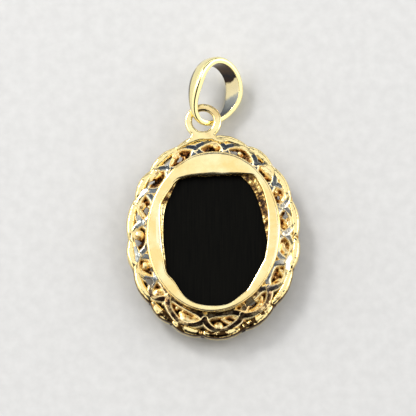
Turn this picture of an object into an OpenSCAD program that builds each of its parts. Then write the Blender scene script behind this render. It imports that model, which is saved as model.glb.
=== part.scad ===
// Onyx pendant lying on its face: a cast frame of pierced scrollwork with a
// scalloped border, a collar that holds the onyx, a loop, and a loose bail.
// X is across the pendant, Y along it towards the bail, Z up from the surface
// that the stone's flat table rests on. Sizes in millimetres.

/* [Onyx] */
// Width of the stone across the pendant
stone_w = 12.0; // [11:0.1:12.2]
// Length of the stone along the pendant
stone_l = 15.7; // [14.6:0.1:15.8]
// Thickness of the stone from its table to its back
stone_t = 3.35; // [3:0.05:3.5]
// Height of the bevel round the table
bevel_h = 0.95; // [0.7:0.05:1.2]
// Size of the table as a share of the outline
table_share = 0.86; // [0.75:0.01:0.9]
// Number of facets in the bevel
stone_facets = 32; // [16:4:48]

/* [Collar] */
// Thickness of the collar's wall
wall_t = 0.37; // [0.3:0.01:0.5]
// Gap between the stone and the metal
stone_gap = 0.05; // [0.04:0.01:0.08]
// Share of the bevel that the lip at the front covers
lip_share = 0.34; // [0.2:0.02:0.4]
// Width of the flat rim at the back
rim_w = 13.34; // [13.2:0.02:13.6]
// Length of the flat rim
rim_l = 16.66; // [16.5:0.02:17]
// Height of the rim's back face above the surface
rim_top = 4.14; // [4:0.02:4.4]
// Thickness of the rim
rim_t = 0.5; // [0.4:0.05:0.6]
// Rounding of the rim's outer edge
rim_round = 0.16; // [0.1:0.02:0.24]
// Turn of the rim, clockwise from the back, in degrees
rim_turn = 3.5; // [0:0.5:5]
// Place of the opening across the pendant
opening_x = 0; // [-0.1:0.02:0.1]
// Place of the opening along the pendant
opening_y = 0; // [-0.1:0.02:0.1]
// Radius of the corners beside the tab
corner_r = 0.1; // [0.05:0.05:0.2]
// Width of the seat's opening under the rim
seat_w = 10.3; // [9.5:0.02:10.6]
// Length of the oval that the seat's opening is cut from
seat_l = 17.6; // [15:0.1:18]
// Place of that oval's middle along the pendant
seat_y = -1.6; // [-2:0.05:0]
// Place of that oval's middle across the pendant
seat_x = 0.15; // [0:0.05:0.3]
// Turn of the seat, counter-clockwise from the back, in degrees
seat_turn = 4; // [0:0.5:6]
// Least width of the ledge behind the stone
ledge_min = 0.2; // [0.1:0.05:0.3]

/* [Border] */
// Width of the scalloped border, taken midway between its lobes and notches
border_w = 17.22; // [16.8:0.02:18]
// Length of the scalloped border
border_l = 21.02; // [20.6:0.02:22]
// Height of the border's underside above the surface
border_z = 1.4; // [1.2:0.05:1.6]
// Height of the border from its underside to its crown
border_h = 1.08; // [0.8:0.02:1.2]
// Depth of the notches between the lobes
lobe_depth = 0.3; // [0.1:0.02:0.4]
// Width of the border's band in the middle of a lobe
band_mid = 0.9; // [0.8:0.02:1]
// Width of the border's band at a notch
band_notch = 0.55; // [0.4:0.01:0.65]

/* [Scrollwork] */
// Width of the two wavy strands
strand_t = 0.56; // [0.44:0.02:0.6]
// Distance from the border's outline to the strands' middle at their outer bends
strand_reach = 0.7; // [0.6:0.02:0.8]
// Height of the strands at the collar
strand_h = 1.25; // [1:0.05:1.4]
// Fall of the strands from the collar to the border
strand_fall = 0.2; // [0.1:0.05:0.4]
// Rounding of the strands' upper edges
strand_round = 0.08; // [0.04:0.02:0.12]
// Diameter of the pearls in the eyes of the scrollwork
pearl_d = 1.1; // [0.9:0.02:1.16]
// Height of the pearls' middles above the surface
pearl_z = 2.02; // [2:0.02:2.1]
// Thickness of the web behind the scrollwork
web_t = 0.4; // [0.3:0.05:0.5]
// Slant of the pierced gaps, in degrees
gap_slant = 17; // [10:1:20]
// Height above the surface at which the gaps have their places
gap_z = 1.6; // [1.4:0.1:1.8]
// Samples of the border in each lobe
lobe_steps = 6; // [5:1:6]
// Samples of the strands from each knot to the next
knot_steps = 4; // [2:1:4]

/* [Loop] */
// Outer diameter of the loop
loop_d = 3.7; // [3.5:0.05:3.9]
// Diameter of the loop's hole
loop_hole = 2.14; // [2.1:0.02:2.2]
// Thickness of the loop
loop_t = 0.5; // [0.46:0.01:0.52]
// Sideways place of the loop, left of the middle
loop_x = -1.0; // [-1.2:0.02:0]
// Place of the loop's middle along the pendant
loop_y = 11.95; // [11.9:0.05:12.2]
// Height of the loop's middle above the surface
loop_z = 2.32; // [2.29:0.01:2.34]

/* [Bail] */
// Length of the bail along the middle of its band
bail_l = 6.5; // [6.45:0.05:6.55]
// Greatest width of the bail along the middle of its band
bail_w = 4.96; // [4.92:0.02:5]
// Width of the band at the top and sides
band_top = 2.12; // [2:0.02:2.2]
// Width of the band where it passes through the loop
band_foot = 0.6; // [0.54:0.02:0.62]
// Share of the bail's half length over which the band narrows to its foot
band_taper = 1.25; // [1.2:0.05:1.3]
// Thickness of the band at its edges, at the top and sides
band_edge = 0.44; // [0.4:0.02:0.46]
// Thickness of the band at its crown, at the top and sides
band_t = 0.6; // [0.56:0.01:0.62]
// Thickness of the band at its crown where it passes through the loop
foot_t = 0.5; // [0.46:0.01:0.51]
// Rounding of the band's edges
band_round = 0.07; // [0.05:0.01:0.08]
// Share by which the bail is narrower towards the loop
bail_egg = 0.08; // [0.06:0.01:0.1]
// Sideways swell of the bail's middle against its foot and top
bail_swell = 0.38; // [0.34:0.02:0.42]
// Lean of the bail to the right, in degrees
bail_lean = 16.3; // [16:0.1:16.6]
// Roll of the bail onto its right side, in degrees
bail_roll = 36.5; // [36:0.1:37]
// Rise of the bail away from the loop, in degrees
bail_rise = 3.7; // [3.4:0.1:4]
// Sections of the swept band
bail_steps = 56; // [40:4:60]
// Place of the bail's foot across the pendant, from the middle of the loop
foot_x = -0.1; // [-0.12:0.01:-0.08]
// Place of the bail's foot along the pendant, from the middle of the loop
foot_y = -0.06; // [-0.08:0.01:-0.04]

/* [Hidden] */
gold = [0.93, 0.78, 0.45];
onyx = [0.04, 0.04, 0.045];
overlap = 0.03;
lip_round = 0.12;
foot_round = 0.08;
notch_drop = 0.3;
strand_in = 0.06;
dome_power = 4;
oval_fn = 68;

// Angles are in degrees clockwise from the top, seen from the back. Shares run
// from the collar at 0 to near the border at 1.

// Notches between the border's lobes
NOTCHES = [-4, 24, 45, 68, 90, 109, 134, 159, 187, 210, 228, 250, 268, 292, 311, 334];
lobes = len(NOTCHES);
steps = lobes * lobe_steps;

// Eyes of the scrollwork, one row for each: angle and share of the outer bend,
// angle and share of the crossing after it, angle and share of the pearl
EYES = [
    [2, 1.02, 9, 0.61, 1, 0.7], [23, 1.1, 36, 0.61, 21, 0.62],
    [46, 1.16, 55, 0.65, 46, 0.75], [65, 1.2, 71, 0.62, 64, 0.7],
    [82, 1.1, 89, 0.45, 83, 0.7], [97, 1, 107, 0.88, 101, 0.58],
    [117, 1.05, 128, 0.4, 118, 0.62], [140, 0.95, 156, 0.5, 145, 0.35],
    [175, 1.05, 187, 0.35, 176, 0.68], [203, 1.02, 222, 0.2, 200, 0.35],
    [231, 1.02, 238, 0.2, 229, 0.55], [249, 1.12, 257, 0.85, 250, 0.52],
    [271, 1.05, 278, 0.47, 273, 0.62], [288, 1.05, 299, 0.88, 290, 0.7],
    [311, 1.05, 320, 0.5, 313, 0.72], [333, 1.12, 346, 0.7, 336, 0.72],
];

// Heights that follow from the sizes above
rim_under = rim_top - rim_t;
seat_z = stone_t + stone_gap;
border_top = border_z + border_h;

// Half widths and half lengths of the ovals
wall_in = [stone_w / 2 + stone_gap, stone_l / 2 + stone_gap];
wall_out = wall_in + [wall_t, wall_t];
border_out = [border_w / 2, border_l / 2];
border_in = border_out - [strand_reach, strand_reach];

// Running number of the border's lobe at an angle, whole at each notch
NOTCH_ROWS = [for (i = [-1 : lobes]) [NOTCHES[(i + lobes) % lobes] + 360 * floor(i / lobes), i]];
function notch_phase(e) = lookup(e > 348 ? e - 360 : e, NOTCH_ROWS);

// Point and outward normal of an oval at an angle clockwise from the top
function oval(half, e) = [half[0] * sin(e), half[1] * cos(e)];
function unit(v) = v / norm(v);
function oval_normal(half, e) = unit([sin(e) / half[0], cos(e) / half[1]]);

// Closed skin through rings of points, each ring joined to the next and the
// last one to the first
module ring_skin(rings) {
    n = len(rings);
    m = len(rings[0]);
    polyhedron(
        points = [for (ring = rings) each ring],
        faces = [
            for (i = [0 : n - 1], j = [0 : m - 1])
            let (
                a = i * m + j,
                b = i * m + (j + 1) % m,
                c = (i + 1) % n * m + (j + 1) % m,
                d = (i + 1) % n * m + j
            )
            each [[a, b, c], [a, c, d]]
        ],
        convexity = 6
    );
}

module oval_2d(half) {
    polygon([for (i = [0 : oval_fn - 1]) oval(half, i * 360 / oval_fn)]);
}

// Wall round the stone, with a lip turned in over the bevel
module collar_wall() {
    lip_z = bevel_h * (1 - lip_share);
    rows = [
        [wall_in * (1 - (1 - table_share) * lip_share), lip_z],
        [wall_in, bevel_h],
        [wall_in, rim_under + overlap],
        [wall_out, rim_under + overlap],
        [wall_out, lip_z + lip_round * 2],
        [wall_out - [lip_round, lip_round], lip_z],
    ];
    ring_skin([
        for (i = [0 : oval_fn - 1])
        let (e = i * 360 / oval_fn)
        [for (row = rows) [each oval(row[0], e), row[1]]]
    ]);
}

// Ledge behind the stone, seen inside the opening of the rim
module seat() {
    translate([0, 0, seat_z])
    linear_extrude(rim_under + overlap - seat_z)
    difference() {
        oval_2d(wall_in + [overlap, overlap]);
        intersection() {
            translate([seat_x, seat_y]) rotate(seat_turn) oval_2d([seat_w, seat_l] / 2);
            oval_2d(wall_in - [ledge_min, ledge_min]);
        }
    }
}

// Edge of the opening filed through the rim, clockwise from the right corner of
// the tab, seen from the back
OPENING = [
    [4.15, 5.75], [4.6, 4.9], [4.95, 4.1], [5.25, 3.1], [5.42, 2.1], [5.47, 0.9],
    [5.42, -0.4], [5.28, -1.75], [5.08, -2.85], [4.9, -3.25], [4.35, -4.35],
    [3.85, -5.3], [3.35, -6.1], [2.93, -6.47], [2.35, -6.95], [1.6, -7.45],
    [0.7, -7.7], [-0.4, -7.74], [-1.2, -7.62], [-2.04, -7.34], [-2.8, -6.78],
    [-3.3, -6.1], [-3.7, -5.4], [-4.1, -4.86], [-4.6, -4.25], [-4.86, -2.9],
    [-5.02, -1.5], [-5.16, 0], [-5.22, 1.6], [-5.18, 2.6], [-4.93, 3.2],
    [-4.55, 3.86], [-4.2, 4.38], [-3.9, 4.9], [-3.45, 5.3], [-2.9, 5.5], [-2.35, 5.6],
];

module opening_2d() {
    offset(r = corner_r, $fn = 12) offset(delta = -corner_r)
    translate([opening_x, opening_y])
    polygon(OPENING);
}

// Flat rim with its tab, rounded at the outer edge
module rim() {
    half = [rim_w, rim_l] / 2;
    // Steps of the rounded edge: inset and drop as shares of the rounding
    edge = [[0, 1], [0.3, 0.45], [1, 0]] * rim_round;
    difference() {
        rotate(-rim_turn)
        for (step = edge)
        translate([0, 0, rim_under])
        linear_extrude(rim_t - step[1])
        oval_2d(half - [step[0], step[0]]);
        translate([0, 0, rim_under - rim_t]) linear_extrude(rim_t * 3) opening_2d();
    }
}

// Domed upper side of the border's band, from the inner edge to the outer one:
// share of the band's width from the outer edge, drop below the crown
CROWN = [[1, 0.28], [0.78, 0.04], [0.45, 0], [0.15, 0.2], [0, 0.5]];

// Scalloped border, a domed band that swells in each lobe
module border() {
    ring_skin([
        for (i = [0 : steps - 1])
        let (
            e = i * 360 / steps,
            m = abs(sin(180 * notch_phase(e))),
            out = lobe_depth * (m - 0.5),
            w = band_notch + (band_mid - band_notch) * m,
            top = border_top - notch_drop * (1 - m),
            base = oval(border_out, e),
            normal = oval_normal(border_out, e)
        )
        [
            for (p = CROWN) [each base + normal * (out - w * p[0]), top - p[1]],
            [each base + normal * out, border_z + foot_round * 2],
            [each base + normal * (out - foot_round), border_z],
            [each base + normal * (out - w), border_z],
        ]
    ]);
}

// Knots of a strand, angle and share: it bends out at every second eye and
// runs along the collar past the eyes between
function knot(side, i) =
    let (k = floor(i / 2), row = EYES[(k + lobes) % lobes], turn = 360 * floor(k / lobes))
    i % 2 != 0 ? [row[2] + turn, row[3]] :
    [row[0] + turn, (k + lobes) % 2 == side ? row[1] : strand_in];
// Point of a strand after knot i, as angle and share: round at the bends and
// steep at the crossings
function strand_place(side, i, t) =
    let (
        a = knot(side, i),
        b = knot(side, i + 1),
        off = i % 2 == 0 ? t : 1 - t,
        bend = i % 2 == 0 ? a[1] : b[1],
        cross = i % 2 == 0 ? b[1] : a[1],
        round_way = sqrt(max(0, 1 - off * off)),
        smooth_way = 1 - off * off * (3 - off) / 2
    )
    [a[0] + (b[0] - a[0]) * t, cross + (bend - cross) * (round_way + smooth_way) / 2];
function between(share) = wall_out + (border_in - wall_out) * share;
function strand_point(side, i, t) =
    let (place = strand_place(side, i, t))
    oval(between(place[1]), place[0]);

module strand(side) {
    ring_skin([
        for (i = [0 : 2 * lobes - 1], t = [0 : 1 / knot_steps : 0.99])
        let (
            mid = strand_point(side, i, t),
            along = unit(strand_point(side, i, t + 0.02) - strand_point(side, i, t - 0.02)),
            across = [-along[1], along[0]] * strand_t / 2,
            top = border_z + strand_h - strand_fall * strand_place(side, i, t)[1]
        )
        [
            [each mid - across, border_z],
            [each mid - across, top - strand_round],
            [each mid, top],
            [each mid + across, top - strand_round],
            [each mid + across, border_z],
        ]
    ]);
}

// Gaps pierced right through the web, clockwise from the top
GAPS = [
    [[1.55, 9.05], [2.4, 9], [2.45, 8.65], [1.7, 8.75]],
    [[4.45, 8.3], [5.1, 7.9], [4.95, 7.45], [4.5, 7.8]],
    [[6.4, 4.4], [6.65, 4.25], [6.62, 3.9], [6.4, 4]],
    [[7.25, 2.7], [7.5, 2.1], [7.2, 1.75], [6.9, 2]],
    [[3.15, -7], [3.85, -6.4], [4.2, -6.78], [3.85, -7.15], [3.3, -7.35]],
    [[-6.85, -4.3], [-6.2, -4.35], [-5.9, -4.78], [-6.2, -5.2], [-6.55, -4.9]],
    [[-6.35, -3.4], [-6, -3.1], [-5.65, -3.35], [-5.55, -3.75], [-6.05, -3.7]],
    [[-6.7, -0.8], [-6.5, -1.3], [-6.6, -1.6], [-6.85, -1.3]],
    [[-7.8, -0.25], [-7.1, -0.45], [-7.5, -1.05], [-7.75, -0.9]],
    [[-7.8, 3.15], [-7.58, 2.63], [-7.3, 1.7], [-7.65, 1.6], [-7.8, 2.5]],
    [[-6.66, 3.15], [-6.3, 2.7], [-6.35, 2.2], [-6.7, 2.35], [-6.95, 2.76]],
    [[-6.9, 5.5], [-6.37, 5.7], [-5.75, 6], [-6.62, 5.05], [-6.9, 4.95]],
    [[-4.15, 8.7], [-5, 7.7], [-4.8, 7.3], [-4.4, 7.5], [-4.05, 8.45]],
    [[-3.7, 7.8], [-3.32, 8.4], [-3.05, 8.3], [-3.2, 7.95]],
];

// Web of metal behind the scrollwork
module web() {
    translate([0, 0, border_z])
    linear_extrude(web_t)
    difference() {
        oval_2d(border_in + [overlap, overlap]);
        oval_2d(wall_out - [overlap, overlap]);
    }
}

// Slanted holes, one through each gap
module gap_holes() {
    slant = -tan(gap_slant);
    translate([0, 0, gap_z])
    multmatrix([[1, 0, 0, 0], [0, 1, slant, 0], [0, 0, 1, 0], [0, 0, 0, 1]])
    linear_extrude(rim_top, center = true)
    for (gap = GAPS) polygon(gap);
}

// Strands, web and comma scrolls, pierced through by the gaps
module scrollwork() {
    difference() {
        union() {
            strand(0);
            strand(1);
            web();
            for (i = [0 : lobes - 1]) comma(i);
        }
        gap_holes();
    }
}

// Beads of the tail of a comma scroll: share of the way back to the crossing
// before the eye, share from collar to border, size as a share of the pearl
TAIL = [[0, 0, 0.7], [0.45, 0.1, 0.6], [0.8, -0.16, 0.44]];

// Round bead that stands on the web
module bead(place, d, sides) {
    hull() {
        translate(place) sphere(d = d, $fn = sides);
        translate([place[0], place[1], border_z]) cylinder(d = d, h = web_t, $fn = sides);
    }
}

// Comma scroll in an eye: a pearl with a tail that hugs the outer strand
module comma(i) {
    row = EYES[i];
    start = knot(0, 2 * i - 1)[0];
    beads = [
        for (tail = TAIL)
        let (e = row[4] + (start - row[4]) * tail[0])
        [[each oval(between(row[5] + tail[1]), e), pearl_z], pearl_d * tail[2]]
    ];
    bead(beads[0][0], pearl_d, 10);
    for (k = [0, 1])
    hull() for (rod = [beads[k], beads[k + 1]]) bead(rod[0], rod[1], 6);
}

// Outline of the flare of metal between the border and the loop, measured from
// the lowest point of the loop
NECK = [
    [-1.15, 0.42], [-1.28, 0.12], [-1.75, -0.35], [-2.75, -0.95],
    [-2.6, -1.3], [-1.9, -0.8], [-1.1, -0.38], [-0.4, -0.12],
    [0.8, -0.12], [1.3, -0.35], [1.9, -0.5], [2.4, -0.25],
    [1.4, 0.08], [1.2, 0.42], [0, 0.7],
];

// Loop on the border, with the flare of metal that carries it
module loop() {
    wire = (loop_d - loop_hole) / 2;
    flat = loop_t / 2;
    translate([loop_x, loop_y, loop_z])
    rotate_extrude($fn = 40)
    translate([loop_hole / 2, 0])
    polygon([
        [0, -flat * 0.55], [0, flat * 0.55], [wire * 0.22, flat], [wire * 0.7, flat],
        [wire, flat * 0.45], [wire, -flat * 0.45], [wire * 0.7, -flat], [wire * 0.22, -flat],
    ]);
    translate([loop_x, loop_y - loop_d / 2, loop_z - flat])
    linear_extrude(loop_t)
    polygon(NECK);
}

module frame() {
    color(gold)
    union() {
        collar_wall();
        seat();
        rim();
        border();
        scrollwork();
        loop();
    }
}

// The stone: a flat table down, a bevel of plain facets, a straight girdle
// and a flat back
module onyx_stone() {
    half = [stone_w, stone_l] / 2;
    n = stone_facets;
    levels = [[table_share, 0], [1, bevel_h], [1, stone_t]];
    color(onyx)
    polyhedron(
        points = [
            for (level = levels, i = [0 : n - 1])
            [each oval(half * level[0], (i + 0.5) * 360 / n), level[1]]
        ],
        faces = [
            [for (i = [n - 1 : -1 : 0]) i],
            [for (i = [0 : n - 1]) 2 * n + i],
            for (k = [0 : 1], i = [0 : n - 1])
            [k * n + i, k * n + (i + 1) % n, (k + 1) * n + (i + 1) % n, (k + 1) * n + i]
        ],
        convexity = 2
    );
}

// Directions of the bail: along it, across it and square to it
along_bail = [
    sin(bail_lean) * cos(bail_rise), cos(bail_lean) * cos(bail_rise), sin(bail_rise)
];
level_bail = [cos(bail_lean), -sin(bail_lean), 0];
across_bail = level_bail * cos(bail_roll) - cross(level_bail, along_bail) * sin(bail_roll);
square_bail = cross(across_bail, along_bail);

function bail_half(t) = bail_w / 2 * sin(t) * (1 + bail_egg * cos(t)) + bail_swell * pow(sin(t), 2);
function bail_slope(t) = bail_w / 2 * (cos(t) + bail_egg * cos(2 * t)) + bail_swell * sin(2 * t);
function bail_ring(t) =
    let (
        mid = along_bail * (bail_l / 2) * cos(t) + across_bail * bail_half(t),
        outward = unit(along_bail * bail_slope(t) + across_bail * (bail_l / 2) * sin(t)),
        x = min(1, (1 + cos(t)) / band_taper),
        k = x * x * (3 - 2 * x),
        w = band_foot + (band_top - band_foot) * k,
        crown = foot_t + (band_t - foot_t) * k,
        edge = band_edge * crown / band_t,
        r = band_round,
        dome = [
            for (s = [1, 0.94, 0.8, 0.5, 0, -0.5, -0.8, -0.94, -1])
            [edge + (crown - edge) * (1 - pow(s, dome_power)), s * w / 2]
        ],
        section = [[0, -w / 2 + r], [0, w / 2 - r], [r, w / 2], each dome, [r, -w / 2]]
    )
    [for (p = section) mid + outward * (p[0] - crown / 2) + square_bail * p[1]];

// The bail rests on the surface by the edge of its band, and its foot passes
// through the middle of the loop
module bail() {
    rings = [for (i = [0 : bail_steps - 1]) bail_ring(i * 360 / bail_steps)];
    lowest = min([for (ring = rings, p = ring) p[2]]);
    foot = -along_bail * bail_l / 2;
    color(gold)
    translate([loop_x + foot_x - foot[0], loop_y + foot_y - foot[1], -lowest])
    ring_skin(rings);
}

frame();
onyx_stone();
bail();
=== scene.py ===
import math

import bmesh
import bpy
import numpy as np
from mathutils import Matrix, Vector, noise


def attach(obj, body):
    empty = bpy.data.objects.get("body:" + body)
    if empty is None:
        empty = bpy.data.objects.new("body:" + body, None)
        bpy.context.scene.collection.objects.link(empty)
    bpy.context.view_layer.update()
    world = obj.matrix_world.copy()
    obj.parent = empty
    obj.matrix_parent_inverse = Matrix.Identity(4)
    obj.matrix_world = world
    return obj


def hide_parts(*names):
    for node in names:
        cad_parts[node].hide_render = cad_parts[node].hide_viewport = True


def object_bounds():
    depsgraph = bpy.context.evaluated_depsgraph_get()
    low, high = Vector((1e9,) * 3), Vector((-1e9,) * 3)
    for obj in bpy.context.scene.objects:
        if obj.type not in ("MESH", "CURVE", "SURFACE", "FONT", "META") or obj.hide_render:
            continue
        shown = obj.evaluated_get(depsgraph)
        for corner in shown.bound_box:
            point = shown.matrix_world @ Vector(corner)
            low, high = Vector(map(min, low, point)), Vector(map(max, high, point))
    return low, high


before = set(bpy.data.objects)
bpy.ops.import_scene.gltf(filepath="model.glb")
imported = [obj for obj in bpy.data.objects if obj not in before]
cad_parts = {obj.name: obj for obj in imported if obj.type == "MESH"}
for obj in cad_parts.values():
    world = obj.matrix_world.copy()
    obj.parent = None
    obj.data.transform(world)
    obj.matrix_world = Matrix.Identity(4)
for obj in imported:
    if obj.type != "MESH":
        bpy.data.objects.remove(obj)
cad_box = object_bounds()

# The scene is modelled in millimetres, in the part's own frame, and scaled when a piece is made.
MM = 0.001

# Tilt of the camera off the vertical
TILT = math.radians(17)

# Sizes that the part's source has too
STONE = np.array([12.0, 15.7])
STONE_T = 3.35
BEVEL_H = 0.95
TABLE_SHARE = 0.86
STONE_GAP = 0.05
LIP_SHARE = 0.34
WALL_T = 0.37
RIM = np.array([13.34, 16.66])
RIM_TOP = 4.14
RIM_T = 0.5
RIM_TURN = 3.5
BORDER = np.array([17.22, 21.02])
BORDER_Z = 1.4
BORDER_H = 1.08
LOBE_DEPTH = 0.3
BAND_MID = 0.9
BAND_NOTCH = 0.55
STRAND_H = 1.25
STRAND_T = 0.56
STRAND_REACH = 0.7
STRAND_FALL = 0.2
WEB_T = 0.4
LOOP_D = 3.7
LOOP_HOLE = 2.14
LOOP_T = 0.5
LOOP = np.array([-1.0, 11.95, 2.32])
BAIL_L = 6.5
BAND_TOP = 2.12
BAND_FOOT = 0.6
BAND_TAPER = 1.25
FOOT_T = 0.5
BAIL_EGG = 0.08
BAIL_SWELL = 0.38
BAIL_LEAN = 16.3
BAIL_ROLL = 36.5
BAIL_RISE = 3.7
FOOT = np.array([-0.1, -0.06])

# Sizes of the bail that the source has not, or has a little otherwise: width over the band's
# middle, thickness at the crown and at the sides, and flare to one side
BAIL_W = 4.94
BAND_T = 0.74
BAND_WALL = 0.3
BAND_FLARE = 0.09

# Angles are in degrees clockwise from the top. Shares run from the collar at 0 to near the
# border at 1.

# Notches between the border's lobes
NOTCHES = [-4, 24, 45, 68, 90, 109, 134, 159, 187, 210, 228, 250, 268, 292, 311, 334]
COUNT = len(NOTCHES)

# Eyes of the scrollwork: angle and share of the outer bend, angle and share of the crossing
# after it
EYES = [
    (2, 1.02, 9, 0.61), (23, 1.1, 36, 0.61), (46, 1.16, 55, 0.65), (65, 1.2, 71, 0.62),
    (82, 1.1, 89, 0.45), (97, 1, 107, 0.88), (117, 1.05, 128, 0.4), (140, 0.95, 156, 0.5),
    (175, 1.05, 187, 0.35), (203, 1.02, 222, 0.2), (231, 1.02, 238, 0.2), (249, 1.12, 257, 0.85),
    (271, 1.05, 278, 0.47), (288, 1.05, 299, 0.88), (311, 1.05, 320, 0.5), (333, 1.12, 346, 0.7),
]

WALL_IN = STONE / 2 + STONE_GAP
WALL_OUT = WALL_IN + WALL_T
BORDER_OUT = BORDER / 2
BORDER_IN = BORDER_OUT - STRAND_REACH
BORDER_TOP = BORDER_Z + BORDER_H
RIM_UNDER = RIM_TOP - RIM_T


def oval(half, e):
    """Points of an oval at angles clockwise from the top, in degrees."""
    a = np.radians(e)
    return np.stack([half[0] * np.sin(a), half[1] * np.cos(a)], -1)


def oval_normal(half, e):
    """Outward directions of an oval at the same angles."""
    a = np.radians(e)
    n = np.stack([np.sin(a) / half[0], np.cos(a) / half[1]], -1)
    return n / np.linalg.norm(n, axis=-1, keepdims=True)


def phase(e):
    """Running number of the border's lobe, whole at each notch."""
    rows = range(-2, COUNT + 3)
    return np.interp(e, [NOTCHES[i % COUNT] + 360 * (i // COUNT) for i in rows], list(rows))


def between(share, e):
    """Point at a share of the way from the collar to the border."""
    share = np.asarray(share, float)[..., None]
    return oval(WALL_OUT, e) * (1 - share) + oval(BORDER_IN, e) * share


def run_up(value, start, end):
    """Share of the way from start to end that a value has come, held at 0 and 1."""
    return np.clip((value - start) / (end - start), 0, 1)


def skin(rings):
    """Faces of a closed skin through rings of points, the last ring joined to the first."""
    n, m = rings.shape[:2]
    i, j = np.meshgrid(np.arange(n), np.arange(m), indexing="ij")
    nxt, side = (i + 1) % n, (j + 1) % m
    faces = np.stack([i * m + j, i * m + side, nxt * m + side, nxt * m + j], -1)
    return rings.reshape(-1, 3), faces.reshape(-1, 4).tolist()


def prism(outline, low, high):
    """A flat solid with a polygon for its outline."""
    outline = np.asarray(outline, float)
    n = len(outline)
    points = np.concatenate([np.c_[outline, np.full(n, low)], np.c_[outline, np.full(n, high)]])
    faces = [list(range(n))[::-1], list(range(n, 2 * n))]
    faces += [[j, (j + 1) % n, n + (j + 1) % n, n + j] for j in range(n)]
    return points, faces


def mesh_of(name, parts):
    """One mesh of several closed parts, all facing outwards."""
    points, faces, start = [], [], 0
    for p, f in parts:
        points.append(p)
        faces += [[start + k for k in face] for face in f]
        start += len(p)
    mesh = bpy.data.meshes.new(name)
    mesh.from_pydata(np.concatenate(points).tolist(), [], faces)
    bm = bmesh.new()
    bm.from_mesh(mesh)
    bmesh.ops.delete(bm, geom=[v for v in bm.verts if not v.link_faces], context="VERTS")
    bmesh.ops.recalc_face_normals(bm, faces=bm.faces)
    bm.to_mesh(mesh)
    bm.free()
    return mesh


def fused(name, parts, voxel, smooth, faces_left):
    """Melts overlapping parts into one cast skin, still in millimetres."""
    rough = bpy.data.objects.new(name + "_rough", mesh_of(name + "_rough", parts))
    bpy.context.scene.collection.objects.link(rough)
    melt = rough.modifiers.new("melt", "REMESH")
    melt.mode = "VOXEL"
    melt.voxel_size = voxel
    soft = rough.modifiers.new("soft", "SMOOTH")
    soft.factor = 0.5
    soft.iterations = smooth
    deps = bpy.context.evaluated_depsgraph_get()
    count = len(rough.evaluated_get(deps).data.polygons) * 2
    if count > faces_left:
        thin = rough.modifiers.new("thin", "DECIMATE")
        thin.ratio = faces_left / count
        deps = bpy.context.evaluated_depsgraph_get()
    mesh = bpy.data.meshes.new_from_object(rough.evaluated_get(deps))
    bpy.data.objects.remove(rough)
    return mesh


def vertex_values(mesh, name):
    """The places or normals of a mesh's vertices."""
    values = np.empty(len(mesh.vertices) * 3, np.float32)
    mesh.vertices.foreach_get(name, values)
    return values.reshape(-1, 3).astype(float)


# Shift of the noise with its seed
SEED_WAY = (1, 0.37, 1.7)


def rough_noise(points, scale, seed):
    """Smooth noise at each point, about -1 to 1."""
    shift = Vector([way * seed for way in SEED_WAY])
    return np.array([noise.noise(Vector(p) * scale + shift) for p in points])


def rough_sum(points, waves, total=0.0):
    """A total with smooth noise added, for each row of height, scale and seed."""
    for height, scale, seed in waves:
        total = total + height * rough_noise(points, scale, seed)
    return total


def piece(name, mesh, materials, node, kinds=None):
    """A finished piece in metres that stands for a node, with a material's number for each face."""
    mesh.name = name
    mesh.transform(Matrix.Scale(MM, 4))
    mesh.polygons.foreach_set("use_smooth", [True] * len(mesh.polygons))
    mesh.materials.clear()
    for material in materials:
        mesh.materials.append(material)
    if kinds is not None:
        mesh.polygons.foreach_set("material_index", kinds)
    mesh.update()
    made = bpy.data.objects.new(name, mesh)
    bpy.context.scene.collection.objects.link(made)
    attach(made, "root")
    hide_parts(node)
    return made


# Materials. Their places, heights and depths are in metres, their noise in waves to the metre.


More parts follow.
